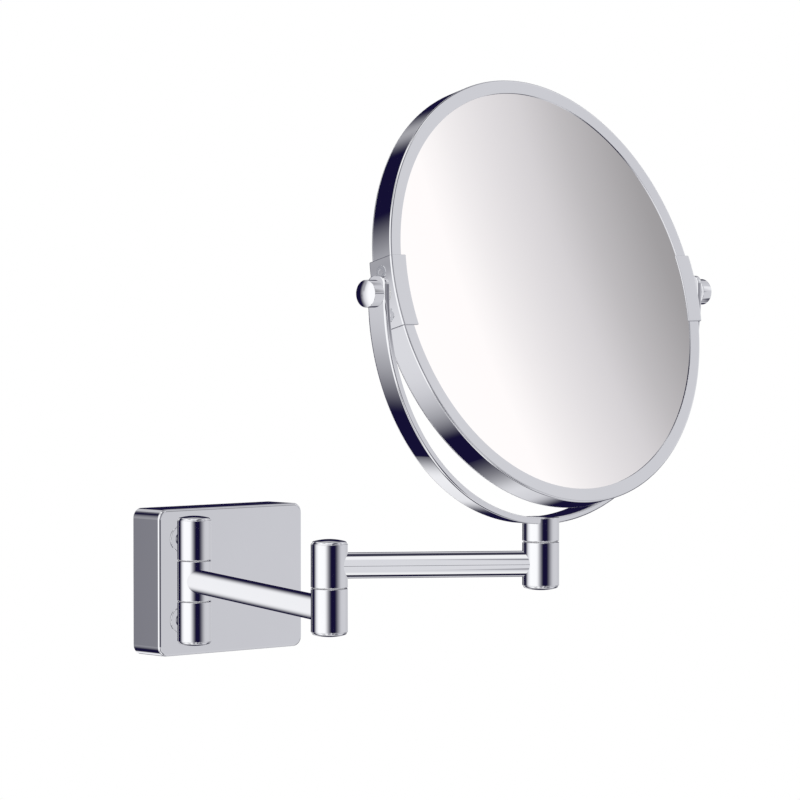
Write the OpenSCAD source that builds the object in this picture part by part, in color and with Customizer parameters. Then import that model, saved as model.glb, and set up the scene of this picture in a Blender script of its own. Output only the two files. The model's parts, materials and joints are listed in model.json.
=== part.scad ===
// Extendable shaving mirror: a two-sided round mirror that tilts in a yoke,
// carried by two folding arms from a wall plate.
//
// Millimetres. The wall is the plane Y = 0, the room is towards -Y, +X is to the
// right of someone facing the wall, and +Z is up. The origin is the centre of the
// wall plate's back face. The arms are drawn part way open, at the angles below.

/* [Wall plate] */
// Width of the wall plate's cover
plate_w = 94.5; // [80:0.5:130]
// Height of the cover
plate_h = 74; // [68:0.5:110]
// Depth of the cover, from the wall to its front face
plate_d = 21; // [17:0.5:35]
// Radius of the cover's four corners, seen from the front
plate_corner_r = 5; // [3:0.5:9]
// Radius of the soft edge around the front face
plate_edge_r = 1.2; // [0.6:0.1:2]
// Thickness of the cover's wall
plate_wall = 2.4; // [1.6:0.2:3]
// Thickness of the bracket that is screwed to the wall
bracket_t = 3; // [2:0.5:4]
// Depth of the bracket's folded tabs
bracket_tab_d = 12; // [9:0.5:13]
// Width of the bracket's folded tabs
bracket_tab_w = 30; // [16:1:40]
// Spacing of the bracket's four screw holes, across and up
wall_hole_w = 48; // [30:1:60]
wall_hole_h = 34; // [20:1:44]
// Diameter of the bracket's screw holes
wall_hole_d = 5; // [4:0.5:6]

/* [Wall hinge] */
// Distance of the hinge's axis from the cover's left edge
hinge_inset = 13.4; // [11:0.1:20]
// Distance of the hinge's axis in front of the cover
hinge_reach = 11.3; // [10.5:0.1:20]
// Height of the hinge's middle above the middle of the cover
hinge_rise = 1.5; // [-2:0.5:2]
// Diameter of the two posts that carry the hinge
post_d = 7; // [6:0.5:9]
// Diameter of the threaded end of a post
post_thread_d = 5; // [4:0.5:5]
// Diameter of the rosette at the foot of each post
rosette_d = 13; // [11:0.5:16]
// Thickness of a rosette
rosette_t = 0.8; // [0.5:0.1:1.5]

/* [Knuckles] */
// Diameter of every hinge knuckle
knuckle_d = 17; // [16:0.5:22]
// Height of one knuckle
knuckle_h = 20; // [17:0.5:26]
// Radius of a knuckle's end edges
knuckle_edge_r = 0.4; // [0.2:0.1:0.8]
// Diameter of the hinge pins
pin_d = 7; // [6:0.5:7]
// Diameter of the bushes around the pins
bush_d = 10; // [9.5:0.1:10.4]
// Thickness of the friction washers between knuckles
washer_t = 0.4; // [0.3:0.1:1]
// Diameter of the friction washers
washer_d = 15; // [12:0.5:15.5]
// How far a knuckle's domed cap stands above its edge
cap_rise = 1.8; // [1:0.2:4]
// How far the cap is set in from the knuckle's side
cap_inset = 0.5; // [0.3:0.1:1.2]

/* [Arms] */
// Length of the first arm, between its hinge axes
arm_1_l = 188; // [150:1:260]
// Length of the second arm, between its hinge axes
arm_2_l = 98; // [70:1:140]
// Outer diameter of both arm tubes
tube_d = 12; // [10:0.5:12.5]
// Wall of the arm tubes
tube_wall = 1.25; // [1:0.05:2]
// Direction of the first arm, clockwise from +X seen from above
arm_1_turn = 110.2; // [0:0.1:180]
// Direction of the second arm, clockwise from +X seen from above
arm_2_turn = 34.9; // [0:0.1:180]

/* [Yoke] */
// Height of the stub between the swivel and the yoke's band
stub_h = 11; // [8:0.5:30]
// Room between the mirror's frame and the yoke
yoke_room = 3.2; // [3.2:0.1:8]
// Thickness of the yoke's band
yoke_t = 3; // [2:0.1:3.5]
// Width of the yoke's band
yoke_w = 11.5; // [9:0.5:13]
// Radius of the band's long edges
yoke_edge_r = 0.9; // [0.4:0.1:1]
// How far each end of the band stands above its pivot
yoke_end = 7.7; // [6:0.1:10]
// Radius of the corners at the band's ends
yoke_end_r = 3.5; // [1:0.5:5]
// Direction that the yoke faces, to the right of straight out from the wall
yoke_turn = 2.4; // [-60:0.1:60]

/* [Mirror] */
// Outer radius of the mirror's frame
frame_r = 100; // [80:0.5:125]
// Depth of the frame, front lip to back lip
frame_d = 12.6; // [12:0.2:16]
// Width of the lip that covers the edge of the glass
lip_w = 6.3; // [5:0.1:9]
// Thickness of the lips
lip_t = 1; // [0.8:0.1:1.5]
// Thickness of the frame's outer wall
frame_wall = 1.2; // [1:0.1:1.6]
// Radius of the frame's outer edges
frame_edge_r = 0.8; // [0.4:0.1:0.9]
// Radius of curvature of the magnifying glass
glass_curve = 900; // [860:10:1500]
// Thickness of the magnifying glass
curved_glass_t = 2.2; // [2:0.1:2.4]
// Thickness of the plain glass
plain_glass_t = 2; // [1.6:0.1:2.2]
// How far the mirror leans back from upright
mirror_tilt = 15; // [-80:1:80]

/* [Mirror clips] */
// Height of the clips that hold the frame at its pivots
clip_h = 32; // [28:1:50]
// Thickness of the clips' metal
clip_t = 1; // [0.8:0.1:1.2]
// How far a clip reaches over the glass, past the lip
clip_overlap = 2; // [0.5:0.5:4]
// Distance of each clip screw from the pivot
clip_screw_offset = 9.7; // [8:0.1:12]
// Diameter of the clip screws' heads
clip_screw_head_d = 6.6; // [5:0.2:7]
// Diameter of the clip screws' shanks
clip_screw_d = 3.2; // [2.5:0.1:3.5]
// Diameter of the pivot studs
stud_d = 5; // [4:0.5:5.5]
// Diameter of the round knobs
knob_d = 12.2; // [10:0.2:15]
// Length of a knob's straight side
knob_side = 4.6; // [3:0.2:8]
// How far a knob's end is domed
knob_rise = 2.8; // [1:0.2:5]

/* [Hidden] */
$fn = 96;

chrome = [0.80, 0.81, 0.84];
steel = [0.62, 0.63, 0.66];
zinc = [0.55, 0.56, 0.58];
polymer = [0.92, 0.92, 0.90];
mirror_silver = [0.90, 0.92, 0.94];
board = [0.25, 0.25, 0.27];

seat_gap = 0.02;                       // radial gap of a pressed or threaded piece
run_gap = 0.05;                        // gap of a running fit, and beside a washer
loose_gap = 0.2;                       // gap of a piece that drops into place
cut = 1;                               // how far a cutting shape runs past a face

knuckle_gap = washer_t + 2 * run_gap;  // space between two knuckles
knuckle_pitch = knuckle_h + knuckle_gap;
knuckle_r = knuckle_d / 2;
cap_r = knuckle_r - cap_inset;
cap_lip = 0.4;                         // straight side of a cap, below its dome
cap_plug_h = 2.5;                      // depth of the plug under a cap

hinge_x = -plate_w / 2 + hinge_inset;
hinge_y = -plate_d - hinge_reach;
level_1 = hinge_rise;                  // height of the first arm
level_2 = level_1 + knuckle_pitch;     // height of the second arm
level_yoke = level_2 + knuckle_pitch / 2 + knuckle_gap / 2;
elbow_x = hinge_x + arm_1_l * cos(arm_1_turn);
elbow_y = hinge_y - arm_1_l * sin(arm_1_turn);
swivel_x = elbow_x + arm_2_l * cos(arm_2_turn);
swivel_y = elbow_y - arm_2_l * sin(arm_2_turn);

inner_w = plate_w - 2 * plate_wall;
inner_h = plate_h - 2 * plate_wall;
inner_corner_r = plate_corner_r - plate_wall;
set_screw_d = 5;
set_screw_l = 8;
set_screw_y = -8;                      // distance of the set screw from the wall
post_web = 1.2;                        // metal left between a post's seat and the pin
post_seat = (knuckle_d - pin_d) / 2 - post_web;  // depth of that seat
post_nut_t = 4;
post_nut_af = 8;                       // size of a post's nut across its flats
hex_ratio = 2 / sqrt(3);               // across corners over across flats

bush_h = knuckle_h / 2 - 1.5;
pin_tail = 0.4;                        // end of a pin beyond its circlip
tube_seat = tube_d / 2 - 0.15;         // distance of a tube's end from a hinge axis
circlip_t = 0.8;
circlip_d = 9.4;
circlip_groove = 0.5;                  // depth of the groove that holds a circlip
long_bush_h = knuckle_h - cap_plug_h - circlip_t - 0.6;  // leaves room for circlip and cap
pin_seat = 4;                          // how far the swivel pin goes into the stub
yoke_screw_d = 4;
yoke_screw_head_d = 7.5;
yoke_screw_l = 12;
yoke_screw_sink = 0.1;                 // how far its head lies below the band's inner face
socket_af = 2.5;                       // size of the screws' sockets across their flats
socket_depth = 1.2;

// Distance from the middle of a circle of radius r to a chord of half-width half.
function chord(r, half) = sqrt(pow(r, 2) - pow(half, 2));

yoke_r = frame_r + yoke_room;           // inner radius of the yoke
yoke_outer_r = yoke_r + yoke_t;
pivot_z = level_yoke + stub_h + yoke_r;  // height of the mirror's pivots
rear_lip_z = -frame_d / 2 + lip_t;     // inner face of the back lip
front_lip_z = frame_d / 2 - lip_t;     // inner face of the front lip
frame_bore = frame_r - frame_wall;
rim_wall = 1.4;                        // thickness of the rear rim's spigot
rim_spigot_h = 4;
glass_r = frame_bore - seat_gap - rim_wall - 0.3;
glass_sag = glass_curve - chord(glass_curve, glass_r);
curved_glass_top = front_lip_z - run_gap;
plain_glass_back = rear_lip_z + run_gap;
backing_t = 0.8;
backing_z = plain_glass_back + plain_glass_t + run_gap;
spacer_w = 4;
spacer_z = backing_z + backing_t + run_gap;
spacer_top = curved_glass_top - curved_glass_t - glass_sag
             + glass_curve - chord(glass_curve, glass_r - spacer_w) - run_gap;

clip_in_r = frame_r + run_gap;
clip_out_r = clip_in_r + clip_t;
clip_in_z = frame_d / 2 + run_gap;
clip_out_z = clip_in_z + clip_t;
clip_edge_r = 0.9;
clip_screw_tip = glass_r + 0.3;        // distance of a screw's tip from the mirror's middle
clip_screw_sink = 0.15;                // how far a head lies below the clip's outside
clip_screw_l = clip_out_r - clip_screw_sink - clip_screw_tip;
stud_head_t = 1;
stud_head_d = 8;
spacer_d = 9;
outer_washer_t = 0.5;
outer_washer_d = 10;
knob_foot = yoke_outer_r + outer_washer_t + 2 * run_gap;
knob_r = knob_d / 2;
knob_bore_l = knob_side - 0.4;

// ---- Helpers: frames of reference ----

module at_hinge(z = 0) { translate([hinge_x, hinge_y, level_1 + z]) children(); }
module at_elbow(z = 0) { translate([elbow_x, elbow_y, level_1 + z]) children(); }
module at_swivel(z = 0) { translate([swivel_x, swivel_y, level_1 + z]) children(); }

// +X runs along the first arm, from its wall hinge to the elbow.
module along_arm_1() { at_hinge() rotate([0, 0, -arm_1_turn]) children(); }

// +X runs along the second arm, from the elbow to the swivel.
module along_arm_2() { at_elbow(knuckle_pitch) rotate([0, 0, -arm_2_turn]) children(); }

// The middle of the pivots: +X along the pivot axis, -Y to the front, +Z up.
module in_yoke() {
    translate([swivel_x, swivel_y, pivot_z]) rotate([0, 0, yoke_turn]) children();
}

// The same place turned with the mirror: +Z to the front of the glass, +Y up.
module in_mirror() { in_yoke() rotate([90 - mirror_tilt, 0, 0]) children(); }

// side is -1 at the left pivot and 1 at the right: +Z runs outwards along the axis.
module at_pivot(side) { in_mirror() rotate([0, side * 90, 0]) children(); }

// The places of one clip's two screws: +Z runs outwards.
module at_clip_screws(side) {
    for (up = [-1, 1])
        in_mirror() rotate([0, 0, up * side * asin(clip_screw_offset / clip_out_r)])
            rotate([0, side * 90, 0]) children();
}

// ---- Helpers: shapes ----

// A rectangle with round corners, from exact circles and squares.
module rounded_rect(w, h, r) {
    square([w - 2 * r, h], center = true);
    square([w, h - 2 * r], center = true);
    for (x = [-1, 1], y = [-1, 1])
        translate([x * (w / 2 - r), y * (h / 2 - r)]) circle(r);
}

// A round bar along +Z with softened end edges.
module soft_cylinder(d, h, edge) {
    rotate_extrude() intersection() {
        translate([0, h / 2]) rounded_rect(d, h, edge);
        square([d, h]);
    }
}

// A dome that rises by rise over a circle of radius r, on a plinth of height lip.
module dome(r, rise, lip) {
    ball = (pow(r, 2) + pow(rise, 2)) / (2 * rise);
    rotate_extrude($fn = 160) intersection() {
        translate([0, lip + rise - ball]) circle(ball, $fn = 360);
        square([r, lip + rise]);
    }
}

module washer(od, id, t) {
    difference() {
        cylinder(d = od, h = t);
        translate([0, 0, -cut]) cylinder(d = id, h = t + 2 * cut);
    }
}

module hexagon_bar(af, h) { cylinder(d = af * hex_ratio, h = h, $fn = 6); }

// One knuckle about its middle height, with its bore.
module knuckle(bore) {
    difference() {
        translate([0, 0, -knuckle_h / 2]) soft_cylinder(knuckle_d, knuckle_h, knuckle_edge_r);
        translate([0, 0, -knuckle_h / 2 - cut]) cylinder(d = bore, h = knuckle_h + 2 * cut);
    }
}

// The seat that a tube takes in a knuckle, along +X from the knuckle's axis.
module tube_seat_cut() {
    translate([tube_seat, 0, 0]) rotate([0, 90, 0])
        cylinder(d = tube_d + 2 * seat_gap, h = knuckle_r);
}

// A domed cap with a plug that fills a knuckle's bore; side is 1 for the top.
module knuckle_cap(side, bore) {
    rotate([side > 0 ? 0 : 180, 0, 0]) translate([0, 0, knuckle_h / 2]) {
        dome(cap_r, cap_rise, cap_lip);
        translate([0, 0, -cap_plug_h]) cylinder(d = bore - 2 * seat_gap, h = cap_plug_h + cap_lip);
    }
}

// A sleeve that lines a knuckle's bore.
module bush(h) { washer(bush_d - 2 * seat_gap, pin_d + 2 * run_gap, h); }

// An open spring ring around the pin's groove.
module circlip() {
    difference() {
        washer(circlip_d, pin_d - 2 * circlip_groove + 2 * seat_gap, circlip_t);
        translate([0, -1.5, -cut]) cube([circlip_d, 3, circlip_t + 2 * cut]);
    }
}

// A pin of length h with a circlip groove whose lower side is at groove_z.
module grooved_pin(h, groove_z) {
    difference() {
        cylinder(d = pin_d, h = h);
        translate([0, 0, groove_z - run_gap])
            washer(pin_d + 2 * cut, pin_d - 2 * circlip_groove, circlip_t + 2 * run_gap);
    }
}

// A straight tube from one hinge axis to the next.
module arm_tube(length) {
    translate([tube_seat + seat_gap, 0, 0]) rotate([0, 90, 0])
        washer(tube_d, tube_d - 2 * tube_wall, length - 2 * (tube_seat + seat_gap));
}

// A countersunk screw along -Z, with its head's face at z = 0. The hole for it is
// the same shape, wider by gap and open for a height of over above the head.
module countersunk(head, shank, length, gap = 0, over = 0) {
    cone = (head - shank) / 2;
    top = over > 0 ? [[0, over], [head / 2 + gap, over]] : [[0, 0]];
    rotate_extrude() polygon(concat(top, [[head / 2 + gap, 0], [shank / 2 + gap, -cone],
                                          [shank / 2 + gap, -length - gap],
                                          [0, -length - gap]]));
}

// ---- Wall plate ----

// The outside of the cover: rounded corners, and a rolled edge around the front.
module cover_body() {
    deep = plate_d - plate_edge_r;
    flat_w = plate_w / 2 - plate_corner_r;
    flat_h = plate_h / 2 - plate_corner_r;
    linear_extrude(deep) rounded_rect(plate_w, plate_h, plate_corner_r);
    linear_extrude(plate_d) rounded_rect(plate_w - 2 * plate_edge_r, plate_h - 2 * plate_edge_r,
                                         plate_corner_r - plate_edge_r);
    for (x = [-1, 1], y = [-1, 1]) translate([x * flat_w, y * flat_h, deep])
        rotate_extrude() translate([plate_corner_r - plate_edge_r, 0]) circle(plate_edge_r);
    for (side = [-1, 1]) {
        translate([-flat_w, side * (plate_h / 2 - plate_edge_r), deep]) rotate([0, 90, 0])
            cylinder(r = plate_edge_r, h = 2 * flat_w);
        translate([side * (plate_w / 2 - plate_edge_r), -flat_h, deep]) rotate([-90, 0, 0])
            cylinder(r = plate_edge_r, h = 2 * flat_h);
    }
}

module at_posts() {
    for (side = [-1, 1]) translate([hinge_x, 0, level_1 + side * knuckle_pitch]) children();
}

module cover() color(chrome) difference() {
    rotate([90, 0, 0]) cover_body();
    rotate([90, 0, 0]) translate([0, 0, -cut])
        linear_extrude(plate_d - plate_wall + cut) rounded_rect(inner_w, inner_h, inner_corner_r);
    at_posts() translate([0, -plate_d / 2, 0]) rotate([90, 0, 0])
        cylinder(d = post_thread_d + 2 * run_gap, h = plate_d);
    translate([0, set_screw_y, -plate_h / 2 - cut])
        cylinder(d = set_screw_d + 2 * loose_gap, h = plate_wall + 2 * cut);
}

module wall_bracket() color(zinc) {
    tab_z = inner_h / 2 - loose_gap;
    rotate([90, 0, 0]) linear_extrude(bracket_t) difference() {
        rounded_rect(inner_w - 2 * loose_gap, 2 * tab_z, inner_corner_r);
        for (x = [-1, 1], z = [-1, 1]) translate([x * wall_hole_w / 2, z * wall_hole_h / 2])
            circle(d = wall_hole_d);
    }
    for (side = [-1, 1]) difference() {
        translate([-bracket_tab_w / 2, -bracket_tab_d, side > 0 ? tab_z - bracket_t : -tab_z])
            cube([bracket_tab_w, bracket_tab_d - bracket_t, bracket_t]);
        if (side < 0) translate([0, set_screw_y, -tab_z - cut])
            cylinder(d = set_screw_d + 2 * seat_gap, h = bracket_t + 2 * cut);
    }
}

// A headless screw, driven up from below to lock the cover to the bracket.
module cover_set_screw() color(steel) translate([0, set_screw_y, -plate_h / 2 + plate_wall / 4])
    difference() {
        cylinder(d = set_screw_d, h = set_screw_l);
        translate([0, 0, -cut]) hexagon_bar(socket_af, socket_depth + cut);
    }

module rosettes() color(chrome) at_posts() translate([0, -plate_d, 0]) rotate([90, 0, 0])
    difference() {
        soft_cylinder(rosette_d, rosette_t, rosette_t / 2 - run_gap);
        translate([0, 0, -cut]) cylinder(d = post_d + 2 * run_gap, h = rosette_t + 2 * cut);
    }

// A stepped post: its thick end sits in the knuckle, its thread goes through the cover.
module post(side) color(chrome)
    translate([hinge_x, 0, level_1 + side * knuckle_pitch]) {
        thread_l = plate_wall + post_nut_t + 1;
        post_l = hinge_reach - (knuckle_r - post_seat) - seat_gap;
        translate([0, -plate_d, 0]) rotate([90, 0, 0]) cylinder(d = post_d, h = post_l);
        translate([0, -plate_d, 0]) rotate([-90, 0, 0]) cylinder(d = post_thread_d, h = thread_l);
    }

module post_nuts() color(steel) at_posts() translate([0, -plate_d + plate_wall, 0])
    rotate([-90, 0, 0]) difference() {
        hexagon_bar(post_nut_af, post_nut_t);
        translate([0, 0, -cut])
            cylinder(d = post_thread_d + 2 * seat_gap, h = post_nut_t + 2 * cut);
    }

// ---- Wall hinge ----

module fixed_knuckle(side) color(chrome) at_hinge(side * knuckle_pitch) difference() {
    knuckle(pin_d + 2 * seat_gap);
    translate([0, knuckle_r - post_seat, 0]) rotate([-90, 0, 0])
        cylinder(d = post_d + 2 * seat_gap, h = knuckle_r);
}

module fixed_cap(side) color(chrome) at_hinge(side * knuckle_pitch)
    knuckle_cap(side, pin_d + 2 * seat_gap);

module hinge_pin() color(steel) {
    length = 3 * knuckle_h + 2 * knuckle_gap - 2 * (cap_plug_h + loose_gap);
    at_hinge(-length / 2) cylinder(d = pin_d, h = length);
}

module friction_washer() {
    translate([0, 0, -washer_t / 2]) washer(washer_d, pin_d + 2 * loose_gap, washer_t);
}

module hinge_washers() color(polymer) for (side = [-1, 1])
    at_hinge(side * knuckle_pitch / 2) friction_washer();

// ---- First arm ----

module arm_1_hub() color(chrome) along_arm_1() difference() {
    knuckle(bush_d);
    tube_seat_cut();
}

module arm_1_bushes() color(polymer) for (foot = [-knuckle_h / 2, knuckle_h / 2 - bush_h])
    at_hinge(foot) bush(bush_h);

module arm_1_tube() color(chrome) along_arm_1() arm_tube(arm_1_l);

module elbow_lower() color(chrome) along_arm_1() translate([arm_1_l, 0, 0]) difference() {
    knuckle(pin_d + 2 * seat_gap);
    rotate([0, 0, 180]) tube_seat_cut();
}

module elbow_cap_lower() color(chrome) at_elbow() knuckle_cap(-1, pin_d + 2 * seat_gap);

elbow_pin_foot = -knuckle_h / 2 + cap_plug_h + loose_gap;
elbow_bush_foot = knuckle_pitch - knuckle_h / 2;
elbow_groove = elbow_bush_foot + long_bush_h + run_gap;
module elbow_pin() color(steel) at_elbow(elbow_pin_foot)
    grooved_pin(elbow_groove + circlip_t + run_gap + pin_tail - elbow_pin_foot,
                elbow_groove - elbow_pin_foot);

module elbow_washer() color(polymer) at_elbow(knuckle_pitch / 2) friction_washer();

// ---- Second arm ----

module elbow_upper() color(chrome) along_arm_2() difference() {
    knuckle(bush_d);
    tube_seat_cut();
}

module elbow_cap_upper() color(chrome) at_elbow(knuckle_pitch) knuckle_cap(1, bush_d);

module elbow_bush() color(polymer) at_elbow(elbow_bush_foot) bush(long_bush_h);

module elbow_circlip() color(steel) at_elbow(elbow_groove) circlip();

module arm_2_tube() color(chrome) along_arm_2() arm_tube(arm_2_l);

module swivel_hub() color(chrome) along_arm_2() translate([arm_2_l, 0, 0]) difference() {
    knuckle(bush_d);
    rotate([0, 0, 180]) tube_seat_cut();
}

module swivel_cap() color(chrome) at_swivel(knuckle_pitch) knuckle_cap(-1, bush_d);

swivel_bush_foot = knuckle_pitch + knuckle_h / 2 - long_bush_h;
swivel_groove = swivel_bush_foot - run_gap - circlip_t;
module swivel_bush() color(polymer) at_swivel(swivel_bush_foot) bush(long_bush_h);

module swivel_circlip() color(steel) at_swivel(swivel_groove) circlip();

// ---- Yoke ----

stub_foot = level_yoke - level_1;
swivel_pin_foot = swivel_groove - run_gap - pin_tail;
swivel_pin_top = stub_foot + pin_seat;
module swivel_pin() color(steel) difference() {
    at_swivel(swivel_pin_foot)
        grooved_pin(swivel_pin_top - swivel_pin_foot, swivel_groove - swivel_pin_foot);
    yoke_screw_shape(seat_gap, cut);
}

module swivel_washer() color(polymer) at_swivel(stub_foot - knuckle_gap / 2) friction_washer();

// The section of the yoke's band, with soft long edges: x outwards, y across.
module band_section(grow = 0) {
    translate([yoke_r + yoke_t / 2, 0])
        rounded_rect(yoke_t + 2 * grow, yoke_w + 2 * grow, yoke_edge_r);
}

module band_bend(grow = 0) {
    rotate([90, 0, 0]) rotate([0, 0, 180]) rotate_extrude(angle = 180, $fn = 360)
        band_section(grow);
}

module yoke_stub() color(chrome) difference() {
    at_swivel(stub_foot) soft_cylinder(knuckle_d, stub_h, knuckle_edge_r);
    at_swivel(stub_foot - cut) cylinder(d = pin_d + 2 * seat_gap, h = pin_seat + seat_gap + cut);
    in_yoke() intersection() {
        rotate([90, 0, 0]) rotate_extrude($fn = 360)
            translate([yoke_r - cut, -yoke_w / 2 - seat_gap])
                square([yoke_t + cut + seat_gap, yoke_w + 2 * seat_gap]);
        translate([-knuckle_d, -knuckle_d, -yoke_outer_r - cut])
            cube([2 * knuckle_d, 2 * knuckle_d, yoke_outer_r]);
    }
    yoke_screw_shape(seat_gap, cut);
}

// An upright end of the band, rounded at its top corners.
module band_end(side) {
    rotate([0, 0, side > 0 ? 0 : 180]) intersection() {
        linear_extrude(yoke_end) band_section();
        translate([yoke_r - cut, 0, yoke_end / 2 - yoke_end_r]) rotate([90, 0, 90])
            linear_extrude(yoke_t + 2 * cut)
                rounded_rect(yoke_w, yoke_end + 2 * yoke_end_r, yoke_end_r);
    }
}

module yoke_band() color(chrome) difference() {
    in_yoke() {
        band_bend();
        for (side = [-1, 1]) band_end(side);
    }
    in_yoke() translate([-yoke_outer_r - cut, 0, 0]) rotate([0, 90, 0])
        cylinder(d = stud_d + 2 * run_gap, h = 2 * (yoke_outer_r + cut));
    yoke_screw_shape(seat_gap, cut);
}

module yoke_screw_shape(gap = 0, over = 0) {
    in_yoke() translate([0, 0, -yoke_r - yoke_screw_sink])
        countersunk(yoke_screw_head_d, yoke_screw_d, yoke_screw_l, gap, over);
}

module yoke_screw() color(steel) difference() {
    yoke_screw_shape();
    in_yoke() translate([0, 0, -yoke_r - yoke_screw_sink - socket_depth]) hexagon_bar(socket_af, socket_depth + cut);
}

// ---- Mirror ----

// A flat lip with one soft outer edge, whose outer face is at z = 0 and faces +Z.
module lip_section() {
    intersection() {
        translate([frame_r - lip_w, -lip_t]) square([lip_w, lip_t]);
        translate([0, -frame_d]) union() {
            square([frame_r - frame_edge_r, frame_d]);
            square([frame_r, frame_d - frame_edge_r]);
            translate([frame_r - frame_edge_r, frame_d - frame_edge_r]) circle(frame_edge_r);
        }
    }
}

// The room for one clip's two screws.
module clip_screw_cut(side) {
    at_clip_screws(side) translate([0, 0, clip_out_r - clip_screw_sink])
        countersunk(clip_screw_head_d, clip_screw_d, clip_screw_l, seat_gap, cut);
}

module clip_screw_cuts() { for (side = [-1, 1]) clip_screw_cut(side); }

module frame_ring() color(chrome) difference() {
    in_mirror() rotate_extrude($fn = 360) {
        translate([0, frame_d / 2]) lip_section();
        translate([frame_bore, rear_lip_z]) square([frame_wall, front_lip_z - rear_lip_z]);
    }
    clip_screw_cuts();
    for (side = [-1, 1]) at_pivot(side) cylinder(d = stud_d + 2 * seat_gap, h = frame_r + cut);
}

// The back lip, with a spigot that presses into the frame's wall.
module frame_rear_rim() color(chrome) difference() {
    in_mirror() mirror([0, 0, 1]) rotate_extrude($fn = 360) {
        translate([0, frame_d / 2]) lip_section();
        translate([frame_bore - seat_gap - rim_wall, -rear_lip_z - rim_spigot_h])
            square([rim_wall, rim_spigot_h + lip_t / 2]);
    }
    clip_screw_cuts();
    for (side = [-1, 1]) at_pivot(side) translate([0, 0, frame_r - lip_w])
        cylinder(d = stud_head_d + 2 * loose_gap, h = lip_w + cut);
}

// Slumped glass, silvered: hollow towards the front.
module magnifying_glass() color(mirror_silver) in_mirror() rotate_extrude($fn = 360)
    intersection() {
        translate([0, curved_glass_top - curved_glass_t - glass_sag])
            square([glass_r, curved_glass_t + glass_sag]);
        difference() {
            translate([0, glass_curve + curved_glass_top - glass_sag - curved_glass_t])
                circle(glass_curve, $fn = 1440);
            translate([0, glass_curve + curved_glass_top - glass_sag])
                circle(glass_curve, $fn = 1440);
        }
    }

module plain_glass() color(mirror_silver) in_mirror() translate([0, 0, plain_glass_back])
    cylinder(r = glass_r, h = plain_glass_t, $fn = 360);

module backing_disc() color(board) in_mirror() translate([0, 0, backing_z])
    cylinder(r = glass_r, h = backing_t, $fn = 360);

module spacer_ring() color(polymer) in_mirror() translate([0, 0, spacer_z])
    washer(2 * glass_r, 2 * (glass_r - spacer_w), spacer_top - spacer_z, $fn = 360);

// ---- Clips, pivots and knobs ----

// The clip's channel section around the frame's edge: x outwards, y to the front.
module clip_section() {
    reach = frame_r - lip_w - clip_overlap;
    difference() {
        translate([clip_out_r / 2, 0]) rounded_rect(clip_out_r, 2 * clip_out_z, clip_edge_r);
        translate([-cut, -clip_in_z]) square([clip_in_r + cut, 2 * clip_in_z]);
        translate([-cut, -clip_out_z - cut]) square([reach + cut, 2 * (clip_out_z + cut)]);
    }
}

module clip(side) color(chrome) difference() {
    in_mirror() rotate([0, 0, side > 0 ? 0 : 180]) intersection() {
        rotate_extrude($fn = 360) clip_section();
        translate([0, -clip_h / 2, -clip_out_z - cut])
            cube([clip_out_r + cut, clip_h, 2 * (clip_out_z + cut)]);
    }
    clip_screw_cut(side);
    at_pivot(side) cylinder(d = stud_d + 2 * seat_gap, h = clip_out_r + cut);
}

module clip_screws() color(steel) for (side = [-1, 1])
    at_clip_screws(side) translate([0, 0, clip_out_r - clip_screw_sink]) difference() {
        countersunk(clip_screw_head_d, clip_screw_d, clip_screw_l);
        translate([0, 0, -socket_depth]) hexagon_bar(socket_af, socket_depth + cut);
    }

// A stud riveted through the frame's wall, around which the mirror turns.
module pivot_stud(side) color(steel) at_pivot(side) {
    head_foot = chord(frame_bore, stud_head_d / 2) - seat_gap - stud_head_t;
    translate([0, 0, head_foot]) cylinder(d = stud_head_d, h = stud_head_t);
    translate([0, 0, head_foot])
        cylinder(d = stud_d, h = knob_foot + knob_bore_l - loose_gap - head_foot);
}

module pivot_spacers() color(polymer) for (side = [-1, 1])
    at_pivot(side) translate([0, 0, clip_out_r + run_gap])
        washer(spacer_d, stud_d + 2 * seat_gap,
               chord(yoke_r, spacer_d / 2) - clip_out_r - 2 * run_gap);

module pivot_washers() color(steel) for (side = [-1, 1])
    at_pivot(side) translate([0, 0, yoke_outer_r + run_gap])
        washer(outer_washer_d, stud_d + 2 * seat_gap, outer_washer_t);

module knob(side) color(chrome) at_pivot(side) translate([0, 0, knob_foot]) difference() {
    dome(knob_r, knob_rise, knob_side);
    translate([0, 0, -cut]) cylinder(d = stud_d + 2 * seat_gap, h = knob_bore_l + cut);
}

cover();
wall_bracket();
cover_set_screw();
rosettes();
post(1);  // post_upper
post(-1);  // post_lower
post_nuts();
fixed_knuckle(1);  // knuckle_upper
fixed_knuckle(-1);  // knuckle_lower
fixed_cap(1);  // knuckle_cap_upper
fixed_cap(-1);  // knuckle_cap_lower
hinge_pin();
hinge_washers();
arm_1_hub();
arm_1_bushes();
arm_1_tube();
elbow_lower();
elbow_cap_lower();
elbow_pin();
elbow_washer();
elbow_upper();
elbow_cap_upper();
elbow_bush();
elbow_circlip();
arm_2_tube();
swivel_hub();
swivel_cap();
swivel_bush();
swivel_circlip();
swivel_pin();
swivel_washer();
yoke_stub();
yoke_band();
yoke_screw();
frame_ring();
frame_rear_rim();
magnifying_glass();
plain_glass();
backing_disc();
spacer_ring();
clip(-1);  // clip_left
clip(1);  // clip_right
clip_screws();
pivot_stud(-1);  // pivot_stud_left
pivot_stud(1);  // pivot_stud_right
pivot_spacers();
pivot_washers();
knob(-1);  // knob_left
knob(1);  // knob_right
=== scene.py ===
# %% [markdown]
# # An extendable shaving mirror
#
# This notebook dresses the exact model of a wall-mounted shaving mirror. Almost all of it is
# chrome, and chrome has no colour of its own: what we see is the room around it. So two things
# decide the look, clean surfaces with small soft edges, and a room worth reflecting.
#
# The exact model gives every position. Blender makes finer versions of the visible metal, with
# edges rolled as polishing leaves them, and keeps the hidden parts as they are.

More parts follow.
